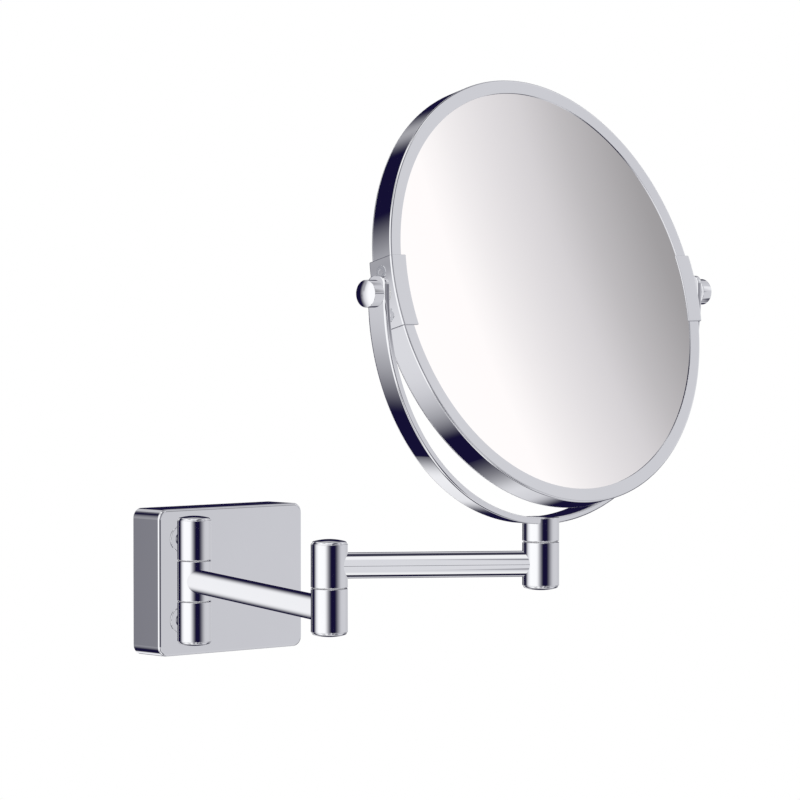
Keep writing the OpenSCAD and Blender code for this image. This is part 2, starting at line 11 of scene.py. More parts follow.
# %% Load the exact model
import json
import math

import bmesh
import bpy
from mathutils import Matrix, Vector

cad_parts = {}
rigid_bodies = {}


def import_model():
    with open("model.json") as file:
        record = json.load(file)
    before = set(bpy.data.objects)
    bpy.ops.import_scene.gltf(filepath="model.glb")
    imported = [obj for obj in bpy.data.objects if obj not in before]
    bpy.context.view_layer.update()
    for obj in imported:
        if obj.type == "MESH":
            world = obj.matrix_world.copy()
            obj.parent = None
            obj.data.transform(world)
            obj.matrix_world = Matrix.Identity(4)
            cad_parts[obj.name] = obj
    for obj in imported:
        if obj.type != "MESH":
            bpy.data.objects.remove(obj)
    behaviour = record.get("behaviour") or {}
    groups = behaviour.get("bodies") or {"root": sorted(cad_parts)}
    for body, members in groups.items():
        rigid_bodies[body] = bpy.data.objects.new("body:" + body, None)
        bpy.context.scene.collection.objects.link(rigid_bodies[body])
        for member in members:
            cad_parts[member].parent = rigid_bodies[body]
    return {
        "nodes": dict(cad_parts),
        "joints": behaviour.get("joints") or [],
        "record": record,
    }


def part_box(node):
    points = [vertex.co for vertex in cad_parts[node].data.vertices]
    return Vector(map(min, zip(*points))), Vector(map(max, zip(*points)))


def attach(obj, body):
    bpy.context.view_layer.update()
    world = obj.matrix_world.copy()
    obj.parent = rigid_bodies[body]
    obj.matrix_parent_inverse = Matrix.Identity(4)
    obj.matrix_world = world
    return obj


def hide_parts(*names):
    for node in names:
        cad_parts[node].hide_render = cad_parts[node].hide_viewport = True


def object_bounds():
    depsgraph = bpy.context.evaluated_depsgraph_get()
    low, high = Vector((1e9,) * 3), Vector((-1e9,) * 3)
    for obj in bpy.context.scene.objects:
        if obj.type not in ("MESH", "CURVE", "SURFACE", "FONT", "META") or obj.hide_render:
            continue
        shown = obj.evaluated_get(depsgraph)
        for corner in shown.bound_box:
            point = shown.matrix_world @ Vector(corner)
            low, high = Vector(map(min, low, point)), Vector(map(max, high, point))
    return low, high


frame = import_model()
cad_box = [list(corner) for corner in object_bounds()]
MM = 0.001

# %% [markdown]
# ## The camera
#
# A long lens far away keeps the round mirror round and the arms straight. The camera stands
# to the left of the mirror, almost level with it, and looks slightly down. It is made first,
# so that every later step can be judged from the same place.

# %% Camera
camera_data = bpy.data.cameras.new("camera")
camera_data.sensor_width = 36
camera_data.lens = 178.64
camera_data.clip_end = 50
camera = bpy.data.objects.new("camera", camera_data)
bpy.context.scene.collection.objects.link(camera)
camera.location = (-1.2954, -1.5708, 0.1565)
look = Vector((0.67296, 0.73897, -0.03237)).normalized()
camera.rotation_euler = look.to_track_quat("-Z", "Y").to_euler()
bpy.context.scene.camera = camera
print("camera looks along", [round(v, 3) for v in look])

# %% [markdown]
# ## Shader maths as plain sums
#
# A material or a room made of nodes is hard to read as a list of links. This small class wraps
# a socket, so that `1 - mask * 0.5` adds the Math nodes itself. One method makes any other node.

# %% The node builder


class Value:
    """A socket that can be used in sums. Each operator adds one Math node."""

    def __init__(self, tree, socket):
        self.tree, self.socket = tree, socket

    def math(self, operation, *others):
        return calculate(self.tree, operation, self, *others)

    def __add__(self, other):
        return self.math("ADD", other)

    def __radd__(self, other):
        return self.math("ADD", other)

    def __sub__(self, other):
        return self.math("SUBTRACT", other)

    def __rsub__(self, other):
        return calculate(self.tree, "SUBTRACT", other, self)

    def __mul__(self, other):
        return self.math("MULTIPLY", other)

    def __rmul__(self, other):
        return self.math("MULTIPLY", other)

    def __truediv__(self, other):
        return self.math("DIVIDE", other)


class Node:
    """A node whose outputs come out as Values."""

    def __init__(self, tree, node):
        self.tree, self.node = tree, node

    def out(self, name=0):
        return Value(self.tree, self.node.outputs[name])


class Nodes:
    """Adds nodes to one tree."""

    def __init__(self, tree):
        self.tree = tree

    def add(self, kind, settings=None, sockets=None, stops=None):
        """Settings first, then a ramp's stops, then values or links for the sockets."""
        node = self.tree.nodes.new(kind)
        for name, value in (settings or {}).items():
            setattr(node, name, value)
        if stops:
            ramp = node.color_ramp.elements
            while len(ramp) > 1:
                ramp.remove(ramp[-1])
            ramp[0].position, ramp[0].color = stops[0]
            for position, color in stops[1:]:
                ramp.new(position).color = color
        for name, value in (sockets or {}).items():
            if isinstance(value, Value):
                self.tree.links.new(value.socket, node.inputs[name])
            elif value is not None:
                node.inputs[name].default_value = value
        return Node(self.tree, node)

    def mix(self, factor, a, b):
        """Blends two colours. A Math node would turn them grey."""
        return self.add("ShaderNodeMix", {"data_type": "RGBA"}, {0: factor, 6: a, 7: b}).out(2)


def calculate(tree, operation, *values):
    """Adds one Math node, fed by Values or by plain numbers."""
    return Nodes(tree).add("ShaderNodeMath", {"operation": operation},
                           dict(enumerate(values))).out()


def linear(tone):
    """A tone from 0 to 255, as the eye grades it, turned into an amount of light."""
    v = tone / 255
    return v / 12.92 if v <= 0.04045 else ((v + 0.055) / 1.055) ** 2.4


print("node builder ready; mid grey 128 is", round(linear(128), 3), "of white's light")

# %% [markdown]
# ## The room that the chrome shows
#
# Polished metal is drawn by its surroundings. A plain white room would leave it flat, so a
# studio hangs dark cards around the object: they give the dark lines that make chrome
# read as chrome. Here the world is that room. It is worked out from the direction alone: a
# bearing round the object and a height above the horizon, light all round, with soft-edged
# dark cards hung at a few places. Direct sight of the world stays white. The pieces are left
# out of each other's reflections at the end, so that each one shows the clean room.

# %% Tones and cards of the room
FACING = Vector((-0.6733, -0.7394, 0.0)).normalized()      # bearing 0 points this way
SIDEWAYS = Vector((0.7394, -0.6733, 0.0)).normalized()     # bearing 90 points this way
CHROME_TONE = 0.79                                         # share of light that chrome returns
CARD = (20, 16, 50)                                        # the dark cards: a deep navy

# bearing in degrees and the tone that chrome shows there
ROOM = [(-180, 204), (-168, 224), (-155, 234), (-136, 236), (-120, 206), (-110, 190),
        (-100, 182), (-95, 186), (-91, 199), (-88, 214), (-83, 224), (-76, 242), (-67, 252),
        (-32, 250), (-22, 242), (-5, 218), (30, 212), (60, 205), (84, 200), (110, 202),
        (145, 190), (180, 204)]
# the patch of the room that the hollow glass shows, brighter towards one side
GLASS_ROOM = [(78, 114), (86, 146), (90, 172), (93, 193), (95, 201), (98, 214), (101, 230),
              (108, 232)]
# where the hollow glass shows its patch, overhead and underfoot: begins, full, stops, ends
GLASS_BEARINGS, GLASS_HEIGHTS = (78, 81, 108, 112), (6, 10, 28, 33)
OVERHEAD, OVERHEAD_TONE = (48, 60, 91, 92), 241
UNDERFOOT, UNDERFOOT_TONE = (-91, -90, -72, -56), 236
# dark cards: where each begins, is full, stops being full and ends, first by bearing and then
# by height, and how dark it is
CARDS = [
    ((-28, 15, 34.5, 88), (-6.2, -5.7, -3.3, -2.9), 1),    # a thin strip, for upright barrels
    ((-181, -180, -140, -139.2), (-6.2, -5.7, -3.3, -2.9), 1),
    ((-103, -101, -97.5, -96), (-7, -6.2, -2.8, -2), 0.3),
    ((-12, -4, 9, 12), (-2.9, -2, 3.5, 8), 1),             # upright cards in front, for edges
    ((18, 20, 50, 72), (-2.9, -2, 44, 52), 0.75),
    ((-12, -4, 9, 12), (-46, -38, -23, -17), 1),
    ((18, 21, 29, 42), (-50, -44, -7.2, -6.2), 1),
    ((-136.2, -135.2, -111, -90), (-76, -66, 33, 43), 1),  # an upright card on the left
    ((-168, -140, -125, -120), (20, 27, 33, 43), 1),       # which widens at its top and foot
    ((-152, -131, -125, -120), (-76, -68, -42, -30), 1),
    ((-180, -138, -125, -120), (-78, -70, -57, -46), 0.4),
    ((-98, -93, -89, -84), (2, 10, 25, 33), 0.35),
    ((60, 72, 92, 97), (-1.5, -0.6, 2.5, 6), 0.7),
    ((150, 165, 190, 214), (1.8, 3.4, 25, 36), 1),         # behind, above the horizon
    ((152, 164, 183, 193), (-44, -30, -10, -4), 1),        # behind, below it
    ((152, 164, 190, 218), (-30, -21, -12, -5), 1),
    ((-262, -238, -130, -110), (40, 62, 91, 92), 0.97),    # ceiling and floor, for the tubes
    ((-262, -244, -130, -110), (-92, -91, -66, -50), 1),
    ((-181, -180, 180, 181), (81, 85, 91, 92), 1),
    ((-181, -180, 180, 181), (-92, -91, -86, -83), 1),
    ((40, 48, 66, 76), (-64, -56, -32, -22), 1),           # the far side, for other views
    ((30, 40, 66, 78), (26, 34, 60, 68), 1),
    ((112, 120, 144, 152), (-44, -34, -14, -8), 1),
    ((-70, -60, -40, -30), (46, 52, 62, 70), 1),
    ((-64, -56, -36, -28), (-72, -64, -44, -36), 1),
]
print("room:", len(ROOM), "tones and", len(CARDS), "dark cards")

# %% World


def make_world():
    world = bpy.data.worlds.new("room")
    world.use_nodes = True
    tree = world.node_tree
    tree.nodes.clear()
    n = Nodes(tree)
    direction = n.add("ShaderNodeTexCoord").out("Generated")

    def along(axis):
        dot = n.add("ShaderNodeVectorMath", {"operation": "DOT_PRODUCT"},
                    {0: direction, 1: tuple(axis)})
        return dot.out("Value")

    degrees = 180 / math.pi
    bearing = along(SIDEWAYS).math("ARCTAN2", along(FACING)) * degrees
    height = along((0, 0, 1)).math("ARCSINE") * degrees

    def band(value, begin, full, stop, end):
        rise = n.add("ShaderNodeMapRange", {"interpolation_type": "SMOOTHSTEP"},
                     {0: value, 1: begin, 2: full, 3: 0.0, 4: 1.0}).out()
        fall = n.add("ShaderNodeMapRange", {"interpolation_type": "SMOOTHSTEP"},
                     {0: value, 1: stop, 2: end, 3: 1.0, 4: 0.0}).out()
        return rise * fall

    def ramp(stops):
        colors = []
        for angle, tone in stops:
            light = linear(tone) / CHROME_TONE
            cool = 1.0 + 0.05 * min(1.0, (255 - tone) / 60)
            colors.append(((angle + 180) / 360, (light, light, light * cool, 1)))
        place = (bearing + 180) / 360
        return n.add("ShaderNodeValToRGB", {}, {0: place}, colors).out("Color")

    def plain(tones):
        return tuple(linear(t) / CHROME_TONE for t in tones) + (1,)

    room = ramp(ROOM)
    glass_patch = band(bearing, *GLASS_BEARINGS) * band(height, *GLASS_HEIGHTS)
    room = n.mix(glass_patch, room, ramp(GLASS_ROOM))
    room = n.mix(band(height, *OVERHEAD), room, plain([OVERHEAD_TONE] * 3))
    room = n.mix(band(height, *UNDERFOOT), room, plain([UNDERFOOT_TONE] * 3))
    for around, upright, depth in CARDS:
        mask = band(bearing, *around)
        if around[0] < -181:                               # it goes on past the seam
            mask = mask + band(bearing, *(a + 360 for a in around))
        if around[3] > 181:
            mask = mask + band(bearing, *(a - 360 for a in around))
        mask = mask.math("MINIMUM", 1.0) * band(height, *upright) * depth
        room = n.mix(mask, room, plain(CARD))

    rays = n.add("ShaderNodeLightPath")
    seen = n.add("ShaderNodeBackground", {}, {"Color": (1, 1, 1, 1), "Strength": 1.0})
    shone = n.add("ShaderNodeBackground", {}, {"Color": (0.94, 0.95, 1, 1), "Strength": 0.75})
    mirrored = n.add("ShaderNodeBackground", {}, {"Color": room, "Strength": 1.0})
    first = n.add("ShaderNodeMixShader", {}, {0: rays.out("Is Glossy Ray"),
                                              1: shone.out(), 2: mirrored.out()})
    both = n.add("ShaderNodeMixShader", {}, {0: rays.out("Is Camera Ray"),
                                             1: first.out(), 2: seen.out()})
    n.add("ShaderNodeOutputWorld", {}, {"Surface": both.out()})
    bpy.context.scene.world = world
    return world


make_world()
bpy.context.scene.view_settings.view_transform = "Standard"
print("world nodes:", len(bpy.context.scene.world.node_tree.nodes))

# %% [markdown]
# ## Floor and lamps
#
# The mirror hangs on a wall, so nothing stands under it. A pale floor lies well below, where it
# catches a soft shadow in views from above. Metal looks through it, so that the dark cards
# below the horizon still do their work. Two large soft lamps light the plain parts.

# %% Floor and lamps
FLOOR_HALF, FLOOR_DROP = 1.85, 0.45         # half its width, and how far it lies below


def make_floor():
    half, depth = FLOOR_HALF, cad_box[0][2] - FLOOR_DROP
    mesh = bpy.data.meshes.new("floor")
    mesh.from_pydata([(-half, -half, depth), (half, -half, depth), (half, half, depth),
                      (-half, half, depth)], [], [(0, 1, 2, 3)])
    floor = bpy.data.objects.new("floor", mesh)
    bpy.context.scene.collection.objects.link(floor)
    material = bpy.data.materials.new("pale floor")
    material.use_nodes = True
    tree = material.node_tree
    tree.nodes.clear()
    n = Nodes(tree)
    paint = n.add("ShaderNodeBsdfDiffuse", {}, {"Color": (0.9, 0.9, 0.9, 1)})
    clear = n.add("ShaderNodeBsdfTransparent")
    glossy = n.add("ShaderNodeLightPath").out("Is Glossy Ray")
    both = n.add("ShaderNodeMixShader", {}, {0: glossy, 1: paint.out(), 2: clear.out()})
    n.add("ShaderNodeOutputMaterial", {}, {"Surface": both.out()})
    mesh.materials.append(material)


def make_lamp(name, place, size, power):
    data = bpy.data.lights.new(name, "AREA")
    data.shape, data.size, data.energy = "DISK", size, power
    lamp = bpy.data.objects.new(name, data)
    bpy.context.scene.collection.objects.link(lamp)
    lamp.location = place
    lamp.rotation_euler = (-Vector(place)).to_track_quat("-Z", "Y").to_euler()
    lamp.visible_glossy = False


make_floor()
make_lamp("key lamp", (-1.2, -1.6, 1.8), 1.2, 9)
make_lamp("fill lamp", (1.8, -1.0, 1.0), 1.4, 4)
print("floor and two lamps")

# %% [markdown]
# ## Finishes
#
# Chrome plate is a smooth mirror that returns about four fifths of the light, a little cool.
# In use it carries a faint haze of wiping marks, so its roughness wanders slightly from place
# to place. The small turned screws are plain bright steel with rings from the lathe.
# Everything is procedural and reads Object coordinates, so it stays put when a joint turns.

# %% Materials


def new_material(name):
    material = bpy.data.materials.new(name)
    material.use_nodes = True
    tree = material.node_tree
    tree.nodes.clear()
    n = Nodes(tree)
    place = n.add("ShaderNodeTexCoord").out("Object")
    return material, n, place


def noise(n, place, scale, detail=3.0, stretch=None):
    if stretch:
        place = n.add("ShaderNodeMapping", {}, {"Vector": place, "Scale": stretch}).out()
    return n.add("ShaderNodeTexNoise", {}, {"Vector": place, "Scale": scale,
                                            "Detail": detail}).out("Fac")


def tint(n, factor, a, b):
    return n.mix(factor, (*a, 1), (*b, 1))


def finish(material, n, sockets, bump=None, strength=0.1, distance=0.0001):
    if bump is not None:
        sockets["Normal"] = n.add("ShaderNodeBump", {}, {"Strength": strength,
                                  "Distance": distance, "Height": bump}).out()
    surface = n.add("ShaderNodeBsdfPrincipled", {}, sockets)
    n.add("ShaderNodeOutputMaterial", {}, {"Surface": surface.out()})
    return material


def make_chrome():
    material, n, place = new_material("polished chrome")
    haze = noise(n, place, 28)
    wiping = noise(n, place, 60, 2.0, (1.0, 1.0, 9.0))
    return finish(material, n, {
        "Base Color": tint(n, haze, (0.775, 0.78, 0.8), (0.805, 0.81, 0.83)),
        "Metallic": 1.0,
        "Roughness": 0.006 + haze * 0.012 + wiping * 0.008,
    })


def make_steel():
    material, n, place = new_material("turned steel")
    grain = noise(n, place, 900, 2.0, (1.0, 1.0, 6.0))
    return finish(material, n, {
        "Base Color": tint(n, grain, (0.6, 0.61, 0.64), (0.7, 0.71, 0.74)),
        "Metallic": 1.0, "Roughness": 0.16 + grain * 0.12,
    }, grain, 0.15, 0.00002)


def make_zinc():
    material, n, place = new_material("zinc plate")
    spangle = n.add("ShaderNodeTexVoronoi", {}, {"Vector": place, "Scale": 260}).out("Distance")
    return finish(material, n, {
        "Base Color": tint(n, spangle, (0.5, 0.51, 0.53), (0.64, 0.65, 0.66)),
        "Metallic": 1.0, "Roughness": 0.3 + spangle * 0.2,
    })


def make_plastic():
    material, n, place = new_material("bearing plastic")
    cloud = noise(n, place, 120)
    return finish(material, n, {
        "Base Color": tint(n, cloud, (0.86, 0.86, 0.84), (0.94, 0.94, 0.92)),
        "Roughness": 0.38 + cloud * 0.1,
    }, cloud, 0.1, 0.00005)


def make_mirror_glass():
    material, n, place = new_material("silvered glass")
    breath = noise(n, place, 9, 2.0)
    return finish(material, n, {
        "Base Color": tint(n, breath, (0.995, 0.96, 0.94), (1.0, 0.968, 0.95)),
        "Metallic": 1.0, "Roughness": breath * 0.012,
    })


def make_board():
    material, n, place = new_material("backing board")
    fibre = noise(n, place, 400, 4.0)
    return finish(material, n, {
        "Base Color": tint(n, fibre, (0.2, 0.2, 0.22), (0.3, 0.3, 0.32)),
        "Roughness": 0.7 + fibre * 0.2,
    }, fibre, 0.3, 0.0001)


FINISHES = {
    "chrome": make_chrome(), "steel": make_steel(), "zinc_plate": make_zinc(),
    "bearing_plastic": make_plastic(), "silvered_glass": make_mirror_glass(),
    "backing_board": make_board(),
}
print("finishes:", ", ".join(FINISHES))

# %% Put the finishes on the exact model's own parts
SLOT_OF = {}
for row in frame["record"]["materials"]:
    for node in row.get("nodes", []):
        SLOT_OF[node] = row["slot"]
for name, obj in frame["nodes"].items():
    was = obj.data.materials[0].name.split(".")[0] if obj.data.materials else ""
    slot = SLOT_OF.get(name) or (was if was in FINISHES else "chrome")
    SLOT_OF[name] = slot
    obj.data.materials.clear()
    obj.data.materials.append(FINISHES[slot])
print({slot: sorted(n for n in SLOT_OF if SLOT_OF[n] == slot) for slot in FINISHES})

# %% [markdown]
# ## Where things are
#
# Every place comes from the exact model. The joints give the three upright axes and the axis
# that the mirror tilts on. The tubes' boxes give the heights of the two arms.

# %% Frames of reference
joints = {j["name"]: j for j in frame["joints"]}
hinge = Vector(joints["arm_1_swing"]["pos_m"]) / MM
elbow = Vector(joints["elbow_swing"]["pos_m"]) / MM
swivel = Vector(joints["yoke_swivel"]["pos_m"]) / MM
pivot = Vector(joints["mirror_tilt"]["pos_m"]) / MM
tilt_axis = Vector(joints["mirror_tilt"]["axis"]).normalized()


def span(node):
    low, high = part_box(node)
    return low / MM, high / MM


def mid(node):
    low, high = span(node)
    return (low + high) / 2


level_1, level_2 = mid("arm_1_tube").z, mid("arm_2_tube").z
TILT = 75.0                                 # turn from upright to the leaning mirror, degrees
YOKE = Matrix.Translation(pivot) @ Matrix.Rotation(math.atan2(tilt_axis.y, tilt_axis.x), 4, "Z")
MIRROR = YOKE @ Matrix.Rotation(math.radians(TILT), 4, "X")
print("axes:", [tuple(round(c, 1) for c in p) for p in (hinge, elbow, swivel, pivot)],
      "levels:", round(level_1, 1), round(level_2, 1))

# %% [markdown]
# ## Drawing an outline with rolled edges
#
# Turned, bent and pressed metal never ends in a knife edge. Each outline below is a list of
# corners with a radius. Every arc gets a guard point on the straight part just beside it, so
# that smooth shading stays flat on the flats and bends only in the roll. That matters more on
# chrome than on anything else, because a bent normal shows as a bent reflection.

# %% Outline and mesh helpers
GUARD = 0.04


def outline(corners, closed=False, steps=7):
    """Points along corners (a, b, radius), with an arc at each corner."""
    points, count = [], len(corners)
    for i, (a, b, radius) in enumerate(corners):
        here = Vector((a, b))
        if not closed and i in (0, count - 1):
            points.append(here)
            continue
        before = (Vector(corners[i - 1][:2]) - here).normalized()
        after = (Vector(corners[(i + 1) % count][:2]) - here).normalized()
        half = before.angle(after) / 2
        radius = max(radius, 0.05)
        back = radius / math.tan(half)
        centre = here + (before + after).normalized() * (radius / math.sin(half))
        start, end = here + before * back, here + after * back
        points.append(start + before * GUARD)
        turn = (start - centre).angle_signed(end - centre)
        arm = start - centre
        for k in range(steps + 1):
            t = -turn * k / steps
            points.append(centre + Vector((arm.x * math.cos(t) - arm.y * math.sin(t),
                                           arm.x * math.sin(t) + arm.y * math.cos(t))))
        points.append(end + after * GUARD)
    return points


def build(name, points, faces, place=Matrix.Identity(4), slot="chrome"):
    """A smooth mesh from points in millimetres, welded, closed and facing outwards."""
    mesh = bpy.data.meshes.new(name)
    mesh.from_pydata([(place @ Vector(p)) * MM for p in points], [], faces)
    work = bmesh.new()
    work.from_mesh(mesh)
    bmesh.ops.remove_doubles(work, verts=work.verts, dist=1e-7)
    bmesh.ops.dissolve_degenerate(work, edges=work.edges, dist=1e-8)
    bmesh.ops.recalc_face_normals(work, faces=work.faces)
    for face in work.faces:
        face.smooth = True
    work.to_mesh(mesh)
    work.free()
    mesh.materials.append(FINISHES[slot])
    return mesh


def spin(profile_at, sides, closed=False):
    """Sets the profile that belongs to each angle about Z. Gives points and faces."""
    points, faces = [], []
    for k in range(sides):
        t = 2 * math.pi * k / sides
        profile = profile_at(t)
        points += [(p[0] * math.cos(t), p[0] * math.sin(t), p[1]) for p in profile]
    m = len(profile)
    for k in range(sides):
        for i in range(m if closed else m - 1):
            a, b = k * m + i, k * m + (i + 1) % m
            c, d = ((k + 1) % sides) * m + (i + 1) % m, ((k + 1) % sides) * m + i
            faces.append((a, b, c, d))
    return points, faces


def lathe(profile, sides=128, closed=False):
    """Turns one profile of (radius, height) about Z."""
    return spin(lambda t: profile, sides, closed)


def loft(rings):
    """A skin over closed rings of points, with both ends capped. Gives points and faces."""
    m = len(rings[0])
    points = [p for ring in rings for p in ring]
    faces = []
    for k in range(len(rings) - 1):
        for i in range(m):
            j = (i + 1) % m
            faces.append((k * m + i, k * m + j, (k + 1) * m + j, (k + 1) * m + i))
    faces.append(tuple(reversed(range(m))))
    faces.append(tuple(range((len(rings) - 1) * m, len(rings) * m)))
    return points, faces


def flatten_ends(mesh):
    """Shades the many-sided end faces flat, so that the rolls beside them stay crisp."""
    for face in mesh.polygons:
        if len(face.vertices) > 4:
            face.use_smooth = False
    return mesh


def show(mesh, name, body, replaced):
    """Makes the mesh a piece that rides on a body and stands for the exact parts."""
    piece = bpy.data.objects.new(name, mesh)
    bpy.context.scene.collection.objects.link(piece)
    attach(piece, body)
    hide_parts(*replaced)
    print(f"{name}: {len(mesh.polygons)} faces, on {body}, for {', '.join(replaced)}")
    return piece


print("helpers: outline, build, spin, lathe, loft, flatten_ends and show")

# %% [markdown]
# ## Two small Geometry Nodes tools
#
# The hinges are one knuckle made six times, with caps and posts that repeat as well.
# Instead of copying meshes by hand, one tree sets copies along a straight line and another
# sets copies around an axis. Sizes are named inputs. Each tree ends in Realize Instances and
# Set Material, and its result is taken out as a plain mesh.

# %% Geometry Nodes tools


def new_tree(name, inputs):
    tree = bpy.data.node_groups.new(name, "GeometryNodeTree")
    tree.interface.new_socket("Geometry", in_out="INPUT", socket_type="NodeSocketGeometry")
    for label, kind in inputs:
        tree.interface.new_socket(label, in_out="INPUT", socket_type=kind)
    tree.interface.new_socket("Geometry", in_out="OUTPUT", socket_type="NodeSocketGeometry")
    start = tree.nodes.new("NodeGroupInput")
    return tree, Nodes(tree), Node(tree, start)


def close_tree(tree, n, geometry, source):
    realized = n.add("GeometryNodeRealizeInstances", {}, {"Geometry": geometry}).out()
    coated = n.add("GeometryNodeSetMaterial", {}, {"Geometry": realized,
                                                   "Material": source.out("Finish")}).out()
    end = tree.nodes.new("NodeGroupOutput")
    tree.links.new(coated.socket, end.inputs["Geometry"])
    return tree


def line_tree():
    tree, n, source = new_tree("copies on a line", [
        ("Start", "NodeSocketVector"), ("Step", "NodeSocketVector"),
        ("Count", "NodeSocketInt"), ("Finish", "NodeSocketMaterial")])
    line = n.add("GeometryNodeMeshLine", {"mode": "OFFSET"},
                 {"Count": source.out("Count"), "Start Location": source.out("Start"),
                  "Offset": source.out("Step")}).out()
    copies = n.add("GeometryNodeInstanceOnPoints", {},
                   {"Points": line, "Instance": source.out("Geometry")}).out()
    return close_tree(tree, n, copies, source)


def turn_tree():
    tree, n, source = new_tree("copies around an axis", [
        ("First Angle", "NodeSocketFloat"), ("Step Angle", "NodeSocketFloat"),
        ("Count", "NodeSocketInt"), ("Finish", "NodeSocketMaterial")])
    line = n.add("GeometryNodeMeshLine", {"mode": "OFFSET"},
                 {"Count": source.out("Count"), "Offset": (0.0, 0.0, 0.0)}).out()
    index = n.add("GeometryNodeInputIndex").out()
    angle = index * source.out("Step Angle") + source.out("First Angle")
    turn = n.add("ShaderNodeCombineXYZ", {}, {"Z": angle}).out()
    copies = n.add("GeometryNodeInstanceOnPoints", {},
                   {"Points": line, "Instance": source.out("Geometry"),
                    "Rotation": turn}).out()
    return close_tree(tree, n, copies, source)


LINE, TURN = line_tree(), turn_tree()


def repeat(tree, mesh, slot, **sizes):
    """Runs a tree on a mesh and returns the result as a new plain mesh."""
    host = bpy.data.objects.new("host", mesh)
    bpy.context.scene.collection.objects.link(host)
    modifier = host.modifiers.new("copies", "NODES")
    modifier.node_group = tree
    values = {key.replace("_", " "): value for key, value in sizes.items()}
    values["Finish"] = FINISHES[slot]
    for item in tree.interface.items_tree:
        if item.in_out == "INPUT" and item.name in values:
            modifier[item.identifier] = values[item.name]
    bpy.context.view_layer.update()
    graph = bpy.context.evaluated_depsgraph_get()
    result = bpy.data.meshes.new_from_object(host.evaluated_get(graph))
    host.modifiers.remove(modifier)
    bpy.data.objects.remove(host)
    return result


def move(mesh, place):
    """Moves a finished mesh by a frame of reference given in millimetres."""
    shift = place.copy()
    shift.translation = place.translation * MM
    mesh.transform(shift)
    return mesh


def join(name, *meshes):
    """One mesh out of several."""
    work = bmesh.new()
    for mesh in meshes:
        work.from_mesh(mesh)
    result = bpy.data.meshes.new(name)
    work.to_mesh(result)
    work.free()
    result.materials.append(meshes[0].materials[0])
    return result


print("trees:", LINE.name, "-", TURN.name)

# %% [markdown]
# ## Knuckles and caps
#
# Each hinge is a stack of turned barrels with a thin shadow line between them. A barrel is a
# plain cylinder whose end edges are just broken. It is turned on the lathe helper and then set
# along a line: two on the wall plate, one at each end of the first arm, one at each end of
# the second. The shallow domed caps that close each stack are made the same way.

# %% Knuckles
low, high = span("arm_1_hub")
KNUCKLE_H = high.z - low.z
KNUCKLE_R = (span("knuckle_upper")[1].x - span("knuckle_upper")[0].x) / 2
KNUCKLE_EDGE = 0.25
half = KNUCKLE_H / 2


def knuckle_mesh():
    profile = outline([(0, -half, 0), (KNUCKLE_R, -half, KNUCKLE_EDGE),
                       (KNUCKLE_R, half, KNUCKLE_EDGE), (0, half, 0)])
    return build("knuckle", *lathe(profile))


def knuckles_on(body, start, end, replaced):
    mesh = repeat(LINE, knuckle_mesh(), "chrome", Start=start * MM, Step=(end - start) * MM,
                  Count=2)
    return show(mesh, f"knuckles_{body}", body, replaced)


def at(axis, z):
    return Vector((axis.x, axis.y, z))


upper, lower = mid("knuckle_upper").z, mid("knuckle_lower").z
knuckles_on("base", at(hinge, upper), at(hinge, lower), ["knuckle_upper", "knuckle_lower"])
knuckles_on("arm_1", at(hinge, level_1), at(elbow, mid("elbow_lower").z),
            ["arm_1_hub", "elbow_lower"])
knuckles_on("arm_2", at(elbow, level_2), at(swivel, level_2), ["elbow_upper", "swivel_hub"])

# %% Domed caps
CAP_R, CAP_LIP, CAP_RISE = KNUCKLE_R - 0.4, 0.25, 1.95
SHOULDER, DOME_DROP = 0.8, 1.0              # width of the rolled shoulder, fall of the dome


def cap_mesh(side):
    """A shallow dome on a rolled shoulder, on a short upright rim."""
    top = CAP_LIP + CAP_RISE
    profile = [(0, -1.0), (CAP_R - 0.05, -1.0), (CAP_R, -0.95), (CAP_R, CAP_LIP - GUARD)]
    flat = CAP_R - SHOULDER
    ball = (flat ** 2 + DOME_DROP ** 2) / (2 * DOME_DROP)
    lean = math.asin(flat / ball)
    rise = top - DOME_DROP - CAP_LIP
    for k in range(11):
        t = (math.pi / 2 - lean) * k / 10
        profile.append((flat + SHOULDER * (math.cos(t) - math.sin(lean) * k / 10),
                        CAP_LIP + rise * math.sin(t) / math.cos(lean)))
    for k in range(1, 21):
        t = lean * (1 - k / 20)
        profile.append((ball * math.sin(t), top - ball + ball * math.cos(t)))
    return build("cap", *lathe([(r, side * z) for r, z in profile]))


def caps_on(body, places, replaced):
    """places: (axis, height of the knuckle's end, side)."""
    parts = []
    for axis, z, side in places:
        parts.append(move(cap_mesh(side), Matrix.Translation(at(axis, z))))
    return show(join(f"caps_{body}", *parts), f"caps_{body}", body, replaced)


caps_on("base", [(hinge, upper + half, 1), (hinge, lower - half, -1)],
        ["knuckle_cap_upper", "knuckle_cap_lower"])
caps_on("arm_1", [(elbow, mid("elbow_lower").z - half, -1)], ["elbow_cap_lower"])
caps_on("arm_2", [(elbow, level_2 + half, 1), (swivel, level_2 - half, -1)],
        ["elbow_cap_upper", "swivel_cap"])

# %% [markdown]
# ## Arm tubes
#
# A drawn tube is straight and dead round. It runs from inside one knuckle to inside the next,
# so the seam where it enters the barrel is the true line where two cylinders meet.

# %% Arm tubes
TUBE_R = (span("arm_2_tube")[1].z - span("arm_2_tube")[0].z) / 2
TUBE_INSET = 1.5                            # how far its ends stay off the hinge axes


